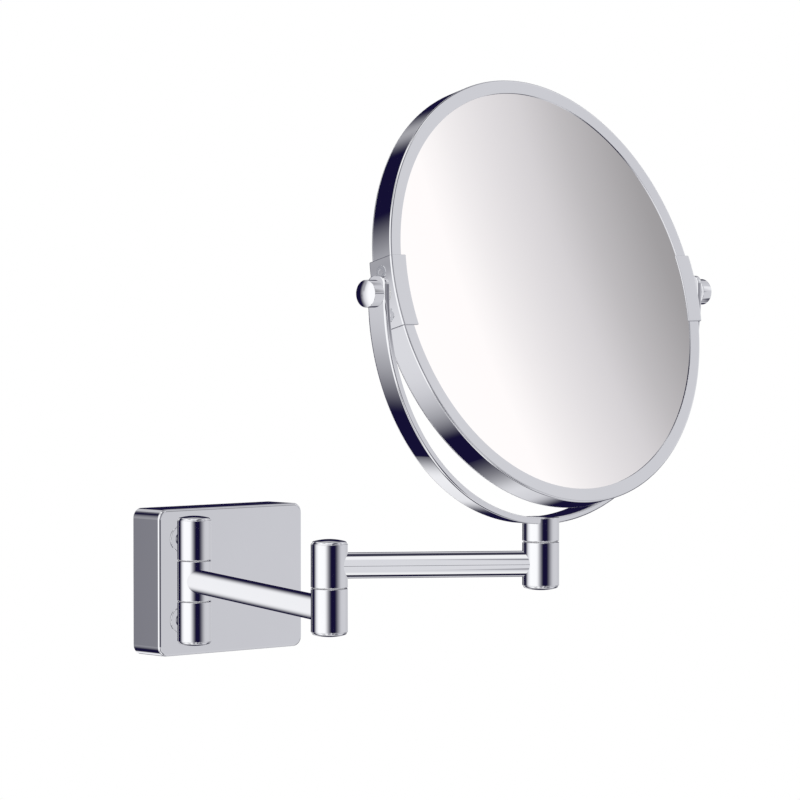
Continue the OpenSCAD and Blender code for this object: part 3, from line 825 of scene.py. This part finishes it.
def tube(name, body, start, end, replaced):
    along = (end - start).normalized()
    length = (end - start).length - 2 * TUBE_INSET
    profile = outline([(0, 0, 0), (TUBE_R, 0, 0.2), (TUBE_R, length, 0.2), (0, length, 0)])
    turn = along.to_track_quat("Z", "Y").to_matrix().to_4x4()
    place = Matrix.Translation(start + along * TUBE_INSET) @ turn
    return show(build(name, *lathe(profile), place), name, body, replaced)


tube("tube_arm_1", "arm_1", at(hinge, level_1), at(elbow, level_1), ["arm_1_tube"])
tube("tube_arm_2", "arm_2", at(elbow, level_2), at(swivel, level_2), ["arm_2_tube"])

# %% [markdown]
# ## Wall cover
#
# The cover is a deep-drawn box: round corners, flat sides, and a small even roll around the
# front. It is lofted from rounded outlines: each ring is the same outline, set in a little and
# moved forward a little, following the roll.

# %% Wall cover
cover_low, cover_high = span("cover")
COVER_W, COVER_H = cover_high.x - cover_low.x, cover_high.z - cover_low.z
COVER_D = -cover_low.y
CORNER_R, EDGE_R, WALL = 5.0, 1.2, 2.4
RIM_BREAK, FACE_MARGIN = 0.25, 2.0          # the broken rim at the wall, a ring on the face


def plate_ring(inset, depth):
    """One rounded outline of the cover, set in by inset, at a depth from the wall."""
    w, h, r = COVER_W / 2 - inset, COVER_H / 2 - inset, max(CORNER_R - inset, 0.3)
    ring, steps = [], 14
    for cx, cz, first in ((w - r, h - r, 0), (-w + r, h - r, 90), (-w + r, -h + r, 180),
                          (w - r, -h + r, 270)):
        arc = [math.radians(first + 90 * k / steps) for k in range(steps + 1)]
        ring.append((cx + r * math.cos(arc[0]) + GUARD * math.sin(arc[0]), -depth,
                     cz + r * math.sin(arc[0]) - GUARD * math.cos(arc[0])))
        ring += [(cx + r * math.cos(t), -depth, cz + r * math.sin(t)) for t in arc]
        ring.append((cx + r * math.cos(arc[-1]) - GUARD * math.sin(arc[-1]), -depth,
                     cz + r * math.sin(arc[-1]) + GUARD * math.cos(arc[-1])))
    return ring


def cover_mesh():
    path = [(WALL, COVER_D - WALL), (WALL, RIM_BREAK + GUARD), (WALL, RIM_BREAK),
            (WALL - RIM_BREAK, 0.0), (RIM_BREAK, 0.0), (0.0, RIM_BREAK),
            (0.0, RIM_BREAK + GUARD), (0.0, COVER_D - EDGE_R - GUARD)]
    for k in range(9):
        t = math.pi / 2 * k / 8
        path.append((EDGE_R - EDGE_R * math.cos(t), COVER_D - EDGE_R + EDGE_R * math.sin(t)))
    path += [(EDGE_R + GUARD, COVER_D), (EDGE_R + FACE_MARGIN, COVER_D)]
    return build("cover", *loft([plate_ring(*p) for p in path]))


show(cover_mesh(), "wall_cover", "base", ["cover"])

# %% [markdown]
# ## Posts and rosettes
#
# Two short posts carry the hinge. Each stands in a thin turned rosette that hides its hole.

# %% Posts and rosettes
POST_R = (span("post_upper")[1].x - span("post_upper")[0].x) / 2
ROSETTE_R = (span("rosettes")[1].x - span("rosettes")[0].x) / 2
POST_END = 11.5 - KNUCKLE_R + 3.0           # it ends 3 mm inside its knuckle
ROSETTE_T, ROSETTE_ROLL = 0.8, 0.4
OUTWARD = Matrix.Rotation(math.radians(90), 4, "X")       # +Z of the lathe points into the room


def posts_and_rosettes():
    step = Vector((0, 0, lower - upper))
    start = Vector((hinge.x, cover_low.y, upper))
    stem = outline([(0, -1, 0), (POST_R, -1, 0.2), (POST_R, POST_END, 0.2),
                    (0, POST_END, 0)])
    post = move(build("post", *lathe(stem, 96)), OUTWARD)
    mesh = repeat(LINE, post, "chrome", Start=start * MM, Step=step * MM, Count=2)
    show(mesh, "posts", "base", ["post_upper", "post_lower"])
    disc = outline([(0, -0.2, 0), (ROSETTE_R, -0.2, 0.1),
                    (ROSETTE_R, ROSETTE_T, ROSETTE_ROLL), (0, ROSETTE_T, 0)])
    flower = move(build("rosette", *lathe(disc, 96)), OUTWARD)
    mesh = repeat(LINE, flower, "chrome", Start=start * MM, Step=step * MM, Count=2)
    show(mesh, "rosette_pair", "base", ["rosettes"])


posts_and_rosettes()

# %% [markdown]
# ## The yoke
#
# A flat band is bent to a half circle and stands on a short stub. Its long edges are rolled and
# its two ends are rounded like a tongue. The band is swept from one tip, round the bottom, to
# the other tip. At the tips the section grows narrower, which draws the round corners.

# %% Yoke band
YOKE_R, YOKE_T, YOKE_W = 103.2, 3.0, 11.5   # inner radius, thickness and width of the band
YOKE_END, YOKE_END_R = 7.7, 3.5             # how far it rises past the pivot, tongue's corners
YOKE_EDGE, YOKE_INNER_EDGE = 1.2, 0.5
YOKE_TURNS = 220


def band_mesh():
    tip = []                                               # (lift, width) down one end
    for k in range(13):
        t = math.pi / 2 * k / 12
        tip.append((YOKE_END - YOKE_END_R + YOKE_END_R * math.cos(t),
                    YOKE_W - 2 * YOKE_END_R + 2 * YOKE_END_R * math.sin(t)))
    tip += [(2.0, YOKE_W), (GUARD, YOKE_W)]
    stations = [(0.0, lift, width) for lift, width in tip]
    stations += [(-math.pi * k / YOKE_TURNS, 0.0, YOKE_W) for k in range(YOKE_TURNS + 1)]
    stations += [(-math.pi, lift, width) for lift, width in reversed(tip)]
    rings = []
    for angle, lift, width in stations:
        section = outline([
            (YOKE_R, -width / 2, YOKE_INNER_EDGE), (YOKE_R + YOKE_T, -width / 2, YOKE_EDGE),
            (YOKE_R + YOKE_T, width / 2, YOKE_EDGE), (YOKE_R, width / 2, YOKE_INNER_EDGE)],
            closed=True, steps=5)
        rings.append([(a * math.cos(angle), b, a * math.sin(angle) + lift)
                      for a, b in section])
    return flatten_ends(build("band", *loft(rings), YOKE))


show(band_mesh(), "yoke_bow", "yoke", ["yoke_band"])

# %% Yoke stub
stub_low, stub_high = span("yoke_stub")
STUB_EDGE = 0.4


def stub_mesh():
    height = stub_high.z - stub_low.z
    profile = outline([(0, 0, 0), (KNUCKLE_R, 0, STUB_EDGE), (KNUCKLE_R, height, STUB_EDGE),
                       (0, height, 0)])
    return build("stub", *lathe(profile), Matrix.Translation(at(swivel, stub_low.z)))


show(stub_mesh(), "yoke_foot", "yoke", ["yoke_stub"])

# %% [markdown]
# ## The mirror's frame and its two glasses
#
# The frame is a spun ring with a lip that folds over the glass. A second lip presses in from
# the back. The magnifying glass is slumped to a shallow hollow, so it gathers a gradient from
# the room and shows it enlarged. The plain glass on the back shows the room life-size.

# %% Frame and lips
FRAME_R, FRAME_D, FRAME_WALL, FRAME_EDGE = 100.0, 12.6, 1.2, 0.8
LIP_W, LIP_T = 6.3, 1.0
SPIGOT_T, SPIGOT_D = 1.4, 3.5               # the rear lip's ring that presses into the frame
LIP_DRAFT = 0.14                            # the lip dips a little towards the glass


def ring_mesh():
    front, inner = FRAME_D / 2, FRAME_R - LIP_W
    back = -FRAME_D / 2 + LIP_T
    profile = outline([
        (inner, front - LIP_T, 0.08), (inner, front - LIP_DRAFT, 0.1),
        (FRAME_R, front, FRAME_EDGE),
        (FRAME_R, back, 0.12), (FRAME_R - FRAME_WALL, back, 0.1),
        (FRAME_R - FRAME_WALL, front - LIP_T, 0.1)], closed=True)
    return build("ring", *lathe(profile, 384, closed=True), MIRROR)


def rear_rim_mesh():
    front, inner = -FRAME_D / 2, FRAME_R - LIP_W
    spigot = FRAME_R - FRAME_WALL - 0.02
    profile = outline([
        (inner, front, 0.35), (inner, front + LIP_T, 0.25),
        (spigot - SPIGOT_T, front + LIP_T, 0.1),
        (spigot - SPIGOT_T, front + LIP_T + SPIGOT_D, 0.1),
        (spigot, front + LIP_T + SPIGOT_D, 0.1),
        (spigot, front + LIP_T, 0.05), (FRAME_R, front + LIP_T, 0.12),
        (FRAME_R, front, FRAME_EDGE)], closed=True)
    return build("rear rim", *lathe(profile, 384, closed=True), MIRROR)


show(ring_mesh(), "front_ring", "mirror", ["frame_ring"])
show(rear_rim_mesh(), "rear_ring", "mirror", ["frame_rear_rim"])

# %% Magnifying glass
GLASS_R, CURVE, GLASS_T = 97.07, 900.0, 2.2                # radius, radius of the hollow


def hollow_glass():
    front = FRAME_D / 2 - LIP_T - 0.05
    sag = CURVE - math.sqrt(CURVE ** 2 - GLASS_R ** 2)
    face = []
    for k in range(61):
        r = GLASS_R * k / 60
        face.append((r, front - sag + CURVE - math.sqrt(CURVE ** 2 - r ** 2)))
    back = [(r, z - GLASS_T) for r, z in reversed(face)]
    return build("hollow glass", *lathe(face + back, 256), MIRROR, "silvered_glass")


show(hollow_glass(), "hollow_glass", "mirror", ["magnifying_glass"])

# %% [markdown]
# ## Clips, knobs and screws
#
# Two folded clips grip the frame where it turns, each held by a pair of countersunk screws.
# Outside the yoke sits a small knob that clamps the tilt. A clip is a channel bent around the
# ring: its section runs along the ring, and its two ends are cut straight and level.

# %% Clips
CLIP_HALF, CLIP_T, CLIP_OVER, CLIP_GAP = 16.0, 1.0, 2.0, 0.05
CLIP_IN_R, CLIP_IN_Z = FRAME_R + CLIP_GAP, FRAME_D / 2 + CLIP_GAP
CLIP_OUT_R, CLIP_OUT_Z = CLIP_IN_R + CLIP_T, CLIP_IN_Z + CLIP_T
CLIP_DRAFT = 0.185                          # its two flanges dip a little, as the lip does
CLIP_ROLL, CLIP_LEVELS = 0.3, 36


def clip_section(s):
    """The channel around the ring's edge, its outside drawn in by s."""
    reach = FRAME_R - LIP_W - CLIP_OVER
    edge = max(0.9 - s, 0.3)
    return outline([
        (reach + s, CLIP_OUT_Z - CLIP_DRAFT - s, 0.25), (CLIP_OUT_R - s, CLIP_OUT_Z - s, edge),
        (CLIP_OUT_R - s, -CLIP_OUT_Z + s, edge),
        (reach + s, -CLIP_OUT_Z + CLIP_DRAFT + s, 0.25),
        (reach + s, -CLIP_IN_Z, 0.25), (CLIP_IN_R, -CLIP_IN_Z, 0.1),
        (CLIP_IN_R, CLIP_IN_Z, 0.1), (reach + s, CLIP_IN_Z, 0.25)], closed=True)


def clip_mesh():
    ends = [(CLIP_HALF - CLIP_ROLL + CLIP_ROLL * math.sin(t),
             CLIP_ROLL - CLIP_ROLL * math.cos(t))
            for t in (math.pi / 2 * k / 5 for k in range(6))]
    flat = CLIP_HALF - CLIP_ROLL - GUARD
    levels = [(-y, s) for y, s in reversed(ends)]
    levels += [(-flat + 2 * flat * k / CLIP_LEVELS, 0.0) for k in range(CLIP_LEVELS + 1)]
    levels += ends
    rings = [[(math.sqrt(p.x ** 2 - y ** 2), y, p.y) for p in clip_section(s)]
             for y, s in levels]
    return flatten_ends(build("clip", *loft(rings)))


clips = repeat(TURN, clip_mesh(), "chrome", First_Angle=0.0, Step_Angle=math.pi, Count=2)
show(move(clips, MIRROR), "clip_pair", "mirror", ["clip_left", "clip_right"])

# %% Clip screws
SCREW_R, SCREW_OFF = 3.3, 9.7               # head's radius, distance from the pivot
SOCKET_HALF, PROUD = 1.25, 0.18             # half the socket's width, height of the face


def screw_head():
    """A flat countersunk head with a hexagon socket, turned about Z."""
    rim = outline([(2.0, PROUD, 0), (SCREW_R - 0.3, PROUD, 0.05), (SCREW_R, PROUD - 0.3, 0.05),
                   (SCREW_R - 0.5, -0.9, 0.1), (0, -0.9, 0)], steps=5)

    def profile_at(t):
        wedge = (t + math.pi / 6) % (math.pi / 3) - math.pi / 6
        hexagon = SOCKET_HALF / math.cos(wedge)
        return [(0, -0.85), (hexagon - 0.02, -0.85), (hexagon, -0.8), (hexagon, PROUD - 0.15),
                (hexagon + 0.15, PROUD), (hexagon + 0.19, PROUD)] + [tuple(p) for p in rim]

    return spin(profile_at, 96)


def screws():
    turn = math.asin(SCREW_OFF / CLIP_OUT_R)
    out = Matrix.Translation((CLIP_OUT_R + 0.02, 0, 0)) @ Matrix.Rotation(math.pi / 2, 4, "Y")
    one = build("screw", *screw_head(), out, "steel")
    pair = repeat(TURN, one, "steel", First_Angle=-turn, Step_Angle=2 * turn, Count=2)
    four = repeat(TURN, pair, "steel", First_Angle=0.0, Step_Angle=math.pi, Count=2)
    return move(four, MIRROR)


show(screws(), "clip_screw_heads", "mirror", ["clip_screws"])

# %% Knobs
KNOB_R, KNOB_SIDE, KNOB_CROWN, KNOB_ROLL = 6.1, 5.6, 1.2, 0.25
KNOB_START = YOKE_R + YOKE_T + 0.6          # it stands on a thin washer beside the yoke


def knob_mesh():
    """A short cylinder with a low crowned face."""
    crown = KNOB_R - KNOB_ROLL
    ball = (crown ** 2 + KNOB_CROWN ** 2) / (2 * KNOB_CROWN)
    lean = math.asin(crown / ball)
    profile = outline([(0, 0, 0), (KNOB_R, 0, 0.35), (KNOB_R, KNOB_SIDE, 0.0)])
    for k in range(1, 8):
        t = (math.pi / 2 - lean) * k / 7
        profile.append((crown + KNOB_ROLL * math.cos(t),
                        KNOB_SIDE + KNOB_ROLL * (math.sin(t) - 0.1 * k / 7)))
    top = profile[-1][1] + KNOB_CROWN
    for k in range(1, 22):
        t = lean * (1 - k / 21)
        profile.append((ball * math.sin(t), top - ball + ball * math.cos(t)))
    out = Matrix.Translation((KNOB_START, 0, 0)) @ Matrix.Rotation(math.pi / 2, 4, "Y")
    return build("knob", *lathe(profile, 96), out)


knobs = repeat(TURN, knob_mesh(), "chrome", First_Angle=0.0, Step_Angle=math.pi, Count=2)
show(move(knobs, MIRROR), "knob_pair", "mirror", ["knob_left", "knob_right"])

# %% [markdown]
# ## Out of each other's reflections
#
# Every mesh is left out of glossy rays, so that each chrome piece shows the clean room and not
# its neighbours.

# %% Leave the pieces out of each other's reflections
for obj in bpy.context.scene.objects:
    if obj.type == "MESH":
        obj.visible_glossy = False             # chrome shows the room, not its neighbours
